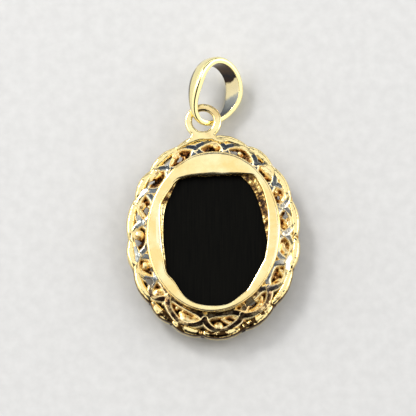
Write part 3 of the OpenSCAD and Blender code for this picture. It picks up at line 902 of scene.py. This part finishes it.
# Edge of the opening filed in the rim, clockwise from the tab's right corner
OPENING = [
    (3.75, 5.83), (4.02, 5.76), (4.2, 5.6), (4.43, 5.25), (4.65, 4.82), (4.88, 4.35), (5.11, 3.63),
    (5.26, 2.97), (5.38, 2.2), (5.45, 0.9),
    (5.42, -0.4), (5.28, -1.75), (5.08, -2.85), (4.9, -3.25), (4.35, -4.35), (3.85, -5.3),
    (3.35, -6.1), (2.93, -6.47), (2.35, -6.95), (1.6, -7.48), (0.7, -7.72), (-0.37, -7.74),
    (-1.2, -7.62), (-2.04, -7.34), (-2.79, -6.78), (-3.29, -6.1), (-3.7, -5.4), (-4.1, -4.86),
    (-4.6, -4.25), (-4.86, -2.9), (-5.02, -1.5), (-5.16, 0.0), (-5.22, 1.6), (-5.18, 2.6),
    (-4.93, 3.2), (-4.55, 3.86), (-4.2, 4.38), (-3.88, 4.9), (-3.45, 5.3), (-2.9, 5.5),
    (-2.4, 5.64), (-1.9, 5.69), (-0.8, 5.72), (-0.1, 5.79), (1, 5.82), (3.3, 5.84),
]
# Inner edge of the ledge behind the stone, clockwise from the top
SEAT = [
    (0.0, 6.8), (1.6, 6.6), (2.3, 6.25), (2.76, 5.86), (3.2, 5.4), (3.68, 4.85), (4.02, 4.3),
    (4.39, 3.45), (4.62, 2.7), (4.83, 1.9), (5.02, 1.0), (5.2, 0.1), (5.36, -0.8), (5.5, -2.2),
    (5.2, -3.9), (4.5, -5.5), (3.2, -7.0), (1.7, -7.75), (0.0, -7.95), (-1.7, -7.7), (-3.2, -6.8),
    (-4.3, -5.3), (-4.62, -4.1), (-4.8, -2.5), (-4.95, -1.1), (-4.98, 0.2), (-4.94, 1.3),
    (-4.85, 2.1), (-4.62, 3.0), (-4.2, 3.95), (-3.85, 4.8), (-3.5, 5.4), (-3.0, 5.8), (-2.0, 6.4),
    (-1.0, 6.7),
]
# Points added for each one of an outline when its bends are rounded
OUTLINE_STEPS = 24


def polar(points, e):
    """Distance of a closed outline from the middle at each angle, its bends rounded."""
    points = np.array(points, float)
    dense = []
    n = len(points)
    for i in range(n):
        a, b, c, d = points[i - 1], points[i], points[(i + 1) % n], points[(i + 2) % n]
        for t in np.linspace(0, 1, OUTLINE_STEPS, endpoint=False):
            t2, t3 = t * t, t * t * t
            bend = (2 * a - 5 * b + 4 * c - d) * t2
            dense.append(0.5 * (2 * b + (c - a) * t + bend + (3 * b - a - 3 * c + d) * t3))
    dense = np.array(dense)
    angle = np.degrees(np.arctan2(dense[:, 0], dense[:, 1])) % 360
    order = np.argsort(angle)
    return np.interp(e, angle[order], np.hypot(*dense[order].T), period=360)


def polar_oval(half, e, turn=0.0):
    """Distance of an oval, turned clockwise, from the middle at each angle."""
    a = np.radians(e - turn)
    return 1 / np.hypot(np.sin(a) / half[0], np.cos(a) / half[1])


# Points round the collar, and height halfway up its wall
COLLAR_STEPS = 720
WALL_MID = 2.2
# Rounding of the lip's outer corner, in and up, drop of the corner under the rim and of the
# underside's middle, and rounding of the rim's lower corner, in and up
LIP_ROUND = (0.12, 0.22)
UNDER_DROP = 0.12
UNDER_SAG = 0.02
RIM_ROUND = (0.05, 0.06)
# The rim's outer edge is this soft at the top and less so by SOFT_LOSS at the bottom. Its
# section: distance in from the edge and depth below the top, as shares of that softness
SOFT = 0.2
SOFT_LOSS = 0.13
RIM_SECTION = [(0, 1.2), (0.15, 0.65), (0.45, 0.25), (1, 0)]
# Steps across the rim's flat, and height of its crown
RIM_ROWS = 7
RIM_CROWN = 0.012
# The rim's inner edge is filed to a wide slope on the left and is nearly sharp elsewhere: least
# width, width added, its angle and how it fades. Section: distance out from the opening as a
# share of the slope, depth below the top, and share of the slope's width added to the depth
SLOPE = 0.07
SLOPE_MORE = 0.16
SLOPE_ANGLE = 268
SLOPE_FADE = 1.5
FILED = [(1, 0, 0), (0.45, 0.03, 0.1), (0.1, 0.06, 0.5), (0, 0.1, 1)]
# The ledge: height over the rim's underside, shares of its rows between opening and seat, fall
# over its width, drop at its inner edge, least reach in from the wall, step at its corners, and
# rounding of the seat's
LEDGE_RISE = 0.03
LEDGE_SHARES = (0.08, 0.3, 0.5, 0.7, 0.9)
LEDGE_FALL = 0.04
LEDGE_DROP = 0.08
LEDGE_LEAST = 0.15
STEP = 0.04
SEAT_ROUND = 0.03
# Rough casting: its noise, and its height upwards and outwards. Polishing waves: scale, seed and
# height on the rim's flat and on its outer edge
LEDGE_NOISE = [(0.6, 4.5, 0.0), (0.4, 10.0, 3.0)]
LEDGE_UP = 0.096
LEDGE_OUT = 0.07
RIM_WAVES = (0.55, 8.0)
WAVE_UP = 0.03
WAVE_OUT = 0.04
# Angles between which the ledge has the rim's polished metal in place of the rough one with painted
# shade, and between which the rim's edges get a painted highlight: on the right both edges, on the
# left the rows near the filed slope, counted from its outer edge
LEDGE_UNSHADED = (238, 300)
HIGHLIGHT_RIGHT = (68, 128)
HIGHLIGHT_LEFT = [(-2, 256, 284), (-1, 250, 292), (0, 245, 297), (1, 242, 300)]
# Numbers of the collar's materials
POLISHED, ROUGH, HIGHLIGHT = range(3)


def collar():
    """Wall round the stone with its lip, rim, filed opening and ledge, and its faces' kinds."""
    e = np.linspace(0, 360, COLLAR_STEPS, endpoint=False)
    ray = np.stack([np.sin(np.radians(e)), np.cos(np.radians(e))], 1)
    wall_in, wall_out = polar_oval(WALL_IN, e), polar_oval(WALL_OUT, e)
    rim = polar_oval(RIM / 2, e, RIM_TURN)
    opening = polar(OPENING, e)
    seat = np.minimum(polar(SEAT, e), wall_in - LEDGE_LEAST)
    lip = polar_oval(WALL_IN * (1 - (1 - TABLE_SHARE) * LIP_SHARE), e)
    lip_z = BEVEL_H * (1 - LIP_SHARE)
    seat_z = STONE_T + STONE_GAP
    ledge_z = RIM_UNDER + LEDGE_RISE
    left = np.clip(np.cos(np.radians(e - SLOPE_ANGLE)), 0, 1) ** SLOPE_FADE
    slope = SLOPE + SLOPE_MORE * left
    soft = SOFT - SOFT_LOSS * np.clip(-np.cos(np.radians(e)), 0, 1)

    rows = [
        (lip, lip_z), (wall_out - LIP_ROUND[0], lip_z), (wall_out, lip_z + LIP_ROUND[1]),
        (wall_out, WALL_MID), (wall_out, RIM_UNDER - UNDER_DROP),
        ((wall_out + rim) / 2, RIM_UNDER - UNDER_SAG),
    ]
    under = len(rows)
    rows += [(rim - RIM_ROUND[0], RIM_UNDER), (rim, RIM_UNDER + RIM_ROUND[1])]
    shoulder = len(rows)
    rows += [(rim - near * soft, RIM_TOP - deep * soft) for near, deep in RIM_SECTION]
    brink = len(rows) - 1
    for share in np.arange(1, RIM_ROWS) / RIM_ROWS:
        across = (rim - soft) * (1 - share) + (opening + slope) * share
        rows.append((across, RIM_TOP + RIM_CROWN * math.sin(math.pi * share)))
    first = len(rows)
    rows += [(opening + slope * a, RIM_TOP - b - c * slope) for a, b, c in FILED]
    cut = len(rows) - 1
    rows.append((opening, ledge_z + STEP))
    for share in LEDGE_SHARES:
        rows.append((opening * (1 - share) + seat * share, ledge_z - LEDGE_FALL * share))
    rows.append((seat, ledge_z - LEDGE_DROP))
    last = len(rows)
    rows += [
        (seat, seat_z + STEP), (seat + SEAT_ROUND, seat_z), (wall_in, seat_z),
        (wall_in, WALL_MID), (wall_in, BEVEL_H),
    ]
    rings = []
    for r, z in rows:
        out = ray * np.broadcast_to(r, e.shape)[:, None]
        rings.append(np.c_[out, np.broadcast_to(z, e.shape)])
    rings = np.stack(rings, 1)

    flat = rings.reshape(-1, 3)
    grain = rough_sum(flat, LEDGE_NOISE).reshape(rings.shape[:2])
    wave = rough_noise(flat, *RIM_WAVES).reshape(rings.shape[:2])
    rough, broad = slice(cut, last), slice(cut + 1, last - 2)
    rings[:, rough, 2] += LEDGE_UP * grain[:, rough]
    rings[:, broad, :2] += ray[:, None] * (LEDGE_OUT * grain[:, broad])[..., None]
    flats, edges = slice(shoulder, first + 1), slice(under, brink)
    rings[:, flats, 2] += WAVE_UP * wave[:, flats]
    rings[:, edges, :2] += ray[:, None] * (WAVE_OUT * wave[:, edges])[..., None]

    kinds = []
    for angle in e:
        # On the left the ledge keeps the polished metal, without the painted shade
        plain = LEDGE_UNSHADED[0] < angle < LEDGE_UNSHADED[1]
        ring = [ROUGH if cut <= j <= last and not plain else POLISHED for j in range(len(rows))]
        # Painted highlight on the rim's edges
        if HIGHLIGHT_RIGHT[0] < angle < HIGHLIGHT_RIGHT[1]:
            ring[brink] = ring[first - 1] = HIGHLIGHT
        for j, start, end in HIGHLIGHT_LEFT:
            if start < angle < end:
                ring[first + j] = HIGHLIGHT
        kinds += ring
    return mesh_of("frame_collar", [skin(rings)]), kinds


collar_mesh, collar_kinds = collar()
piece("frame_collar", collar_mesh, [polished, ledge, highlight_gold], "frame", collar_kinds)


# Bail

# Points round the band, and the section: shares of the width across half of the inner face,
# distance in from the side and depth at the rounded edge, shares of the half width across the
# crown, and the powers of its curve
BAIL_STEPS = 360
INNER_SHARES = (0, 0.15, 0.3, 0.42)
BAND_ROUND = [(0.05, 0), (0.015, 0.015), (0, 0.05)]
CROWN_SHARES = (1, 0.995, 0.98, 0.95, 0.9, 0.82, 0.72, 0.6, 0.45, 0.3, 0.15)
CROWN_POWERS = (3, 0.4)
# Strip behind the crown that is shaded, in rows from the far edge of the inner face
BACK_ROWS = range(8, 12)
# Numbers of the bail's materials
BRIGHT, MIRRORED, SHADED = range(3)


def bail():
    """Egg-shaped band that leans in the loop and lies on its side, and its faces' kinds."""
    lean, rise, roll = (math.radians(v) for v in (BAIL_LEAN, BAIL_RISE, BAIL_ROLL))
    along = np.array([
        math.sin(lean) * math.cos(rise), math.cos(lean) * math.cos(rise), math.sin(rise),
    ])
    level = np.array([math.cos(lean), -math.sin(lean), 0])
    across = level * math.cos(roll) - np.cross(level, along) * math.sin(roll)
    square = np.cross(across, along)
    t = np.arange(BAIL_STEPS) * 2 * np.pi / BAIL_STEPS
    half = BAIL_W / 2 * np.sin(t) * (1 + BAIL_EGG * np.cos(t)) + BAIL_SWELL * np.sin(t) ** 2
    slope = BAIL_W / 2 * (np.cos(t) + BAIL_EGG * np.cos(2 * t)) + BAIL_SWELL * np.sin(2 * t)
    mid = np.outer(BAIL_L / 2 * np.cos(t), along) + np.outer(half, across)
    outward = np.outer(slope, along) + np.outer(BAIL_L / 2 * np.sin(t), across)
    outward /= np.linalg.norm(outward, axis=1, keepdims=True)
    x = np.minimum(1, (1 + np.cos(t)) / BAND_TAPER)
    wide = x * x * (3 - 2 * x)
    w = BAND_FOOT + (BAND_TOP - BAND_FOOT) * wide
    crown = FOOT_T + (BAND_T - FOOT_T) * wide
    wall = BAND_WALL * crown / BAND_T
    # Half of the section, from the middle of the inner face to the crown: depth and half width
    half_section = [(0 * w, w * s) for s in INNER_SHARES]
    half_section += [(0 * w + deep, w / 2 - near) for near, deep in BAND_ROUND]
    power, root = CROWN_POWERS
    half_section += [
        (wall + (crown - wall) * (1 - s ** power) ** root, w / 2 * s) for s in CROWN_SHARES
    ]
    section = half_section + [(crown, 0 * w)] + [(a, -b) for a, b in half_section[:0:-1]]
    rings = np.stack([
        mid + outward * (a - crown / 2 + BAND_FLARE * b * wide)[:, None] + square * b[:, None]
        for a, b in section
    ], 1)
    foot = -along * BAIL_L / 2
    shift = np.array([*(LOOP[:2] + FOOT - foot[:2]), -rings[..., 2].min()])
    # The inner face and a strip behind the crown get painted reflections of the dark surroundings.
    ring = [BRIGHT] * len(section)
    inner = len(INNER_SHARES)
    for j in range(inner):
        ring[j] = ring[-1 - j] = MIRRORED
    for j in BACK_ROWS:
        ring[-1 - inner - j] = SHADED
    return mesh_of("bail_band", [skin(rings + shift)]), ring * BAIL_STEPS


bail_mesh, bail_kinds = bail()
piece("bail_band", bail_mesh, [bright, mirrored, shaded], "bail", bail_kinds)


# Stone

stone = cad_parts["onyx_stone"]
stone.data.materials.clear()
stone.data.materials.append(onyx())


# Floor, light and camera, in metres

FLOOR = [(0.35, (0.62, 0.62, 0.62)), (0.7, (0.67, 0.67, 0.67))]
FLOOR_CELLS = 4
FLOOR_HALF = 0.6


def floor():
    """Plain pale floor."""
    n = Nodes(bpy.data.materials.new("floor"))
    grain = n.pattern(*FLOOR_NOISE)
    material = n.finish(n.ramp(grain, FLOOR), 0.8, n.bump(grain, 0.1, FLOOR_DEPTH))
    mesh = bpy.data.meshes.new("floor")
    bm = bmesh.new()
    bmesh.ops.create_grid(bm, x_segments=FLOOR_CELLS, y_segments=FLOOR_CELLS, size=FLOOR_HALF)
    bm.to_mesh(mesh)
    bm.free()
    mesh.materials.append(material)
    made = bpy.data.objects.new("floor", mesh)
    bpy.context.scene.collection.objects.link(made)


AIM = (0.0, 0.003, 0.002)
LAMP_WHITE = (1.0, 0.99, 0.97)
WARM_WHITE = (1.0, 0.98, 0.96)
# Name, place, width and length, power and colour
LAMPS = [
    ("overhead", (0.0, 0.125, 0.38), (0.27, 0.24), 0.20, LAMP_WHITE),
    ("left", (-0.40, 0.10, 0.33), (0.2, 0.5), 0.66, LAMP_WHITE),
    ("right", (0.40, 0.10, 0.33), (0.2, 0.5), 0.66, WARM_WHITE),
    ("far", (0.0, 0.52, 0.26), (0.5, 0.2), 0.50, LAMP_WHITE),
    ("window", (-0.24, 0.26, 0.34), (0.12, 0.12), 0.9, LAMP_WHITE),
]


def lamp(name, place, size, power, colour):
    """A soft box turned to face the pendant."""
    data = bpy.data.lights.new(name, "AREA")
    data.shape = "RECTANGLE"
    data.size, data.size_y = size
    data.energy = power
    data.color = colour
    made = bpy.data.objects.new(name, data)
    made.location = place
    made.rotation_euler = (Vector(AIM) - Vector(place)).to_track_quat("-Z", "Y").to_euler()
    bpy.context.scene.collection.objects.link(made)


# Colours of the walls, the directions along Y between which the dark one turns to the far one,
# and the directions along X, to either side, between which both turn to the pale one
DARK_WALL = (0.02, 0.018, 0.02, 1)
FAR_WALL = (0.15, 0.17, 0.23, 1)
PALE_WALL = (1.25, 1.23, 1.16, 1)
FAR_WAY = (-0.45, 0.15)
PALE_WAY = (0.36, 0.6)


def studio():
    """Walls seen in the metal: dark behind the camera, grey beyond the object, pale beside it."""
    world = bpy.data.worlds.new("studio")
    bpy.context.scene.world = world
    n = Nodes(world, "Generated")
    far = n.spread(n.axis("Y"), *FAR_WAY, interpolation_type="SMOOTHSTEP")
    aside = n.maths("ABSOLUTE", n.axis("X"))
    side = n.spread(aside, *PALE_WAY, interpolation_type="SMOOTHSTEP")
    walls = n.mix(side, n.mix(far, DARK_WALL, FAR_WALL), PALE_WALL)
    background = n.tree.nodes["Background"]
    n.join(walls, background.inputs["Color"])
    n.join(1.0, background.inputs["Strength"])


floor()
for row in LAMPS:
    lamp(*row)
studio()

# A long lens: distance, width of the view there, width of the sensor in millimetres, and aim
DISTANCE = 0.5
VIEW_WIDTH = 0.0416
SENSOR = 36
TARGET = Vector((-0.00052, 0.002975, 0.002))
camera = bpy.data.objects.new("camera", bpy.data.cameras.new("camera"))
camera.location = TARGET + Vector((0, -math.sin(TILT), math.cos(TILT))) * DISTANCE
camera.rotation_euler = (TILT, 0, 0)
camera.data.sensor_width = SENSOR
camera.data.lens = SENSOR * DISTANCE / VIEW_WIDTH
camera.data.clip_start, camera.data.clip_end = 0.01, 5
bpy.context.scene.collection.objects.link(camera)
bpy.context.scene.camera = camera
bpy.context.scene.view_settings.view_transform = "Standard"
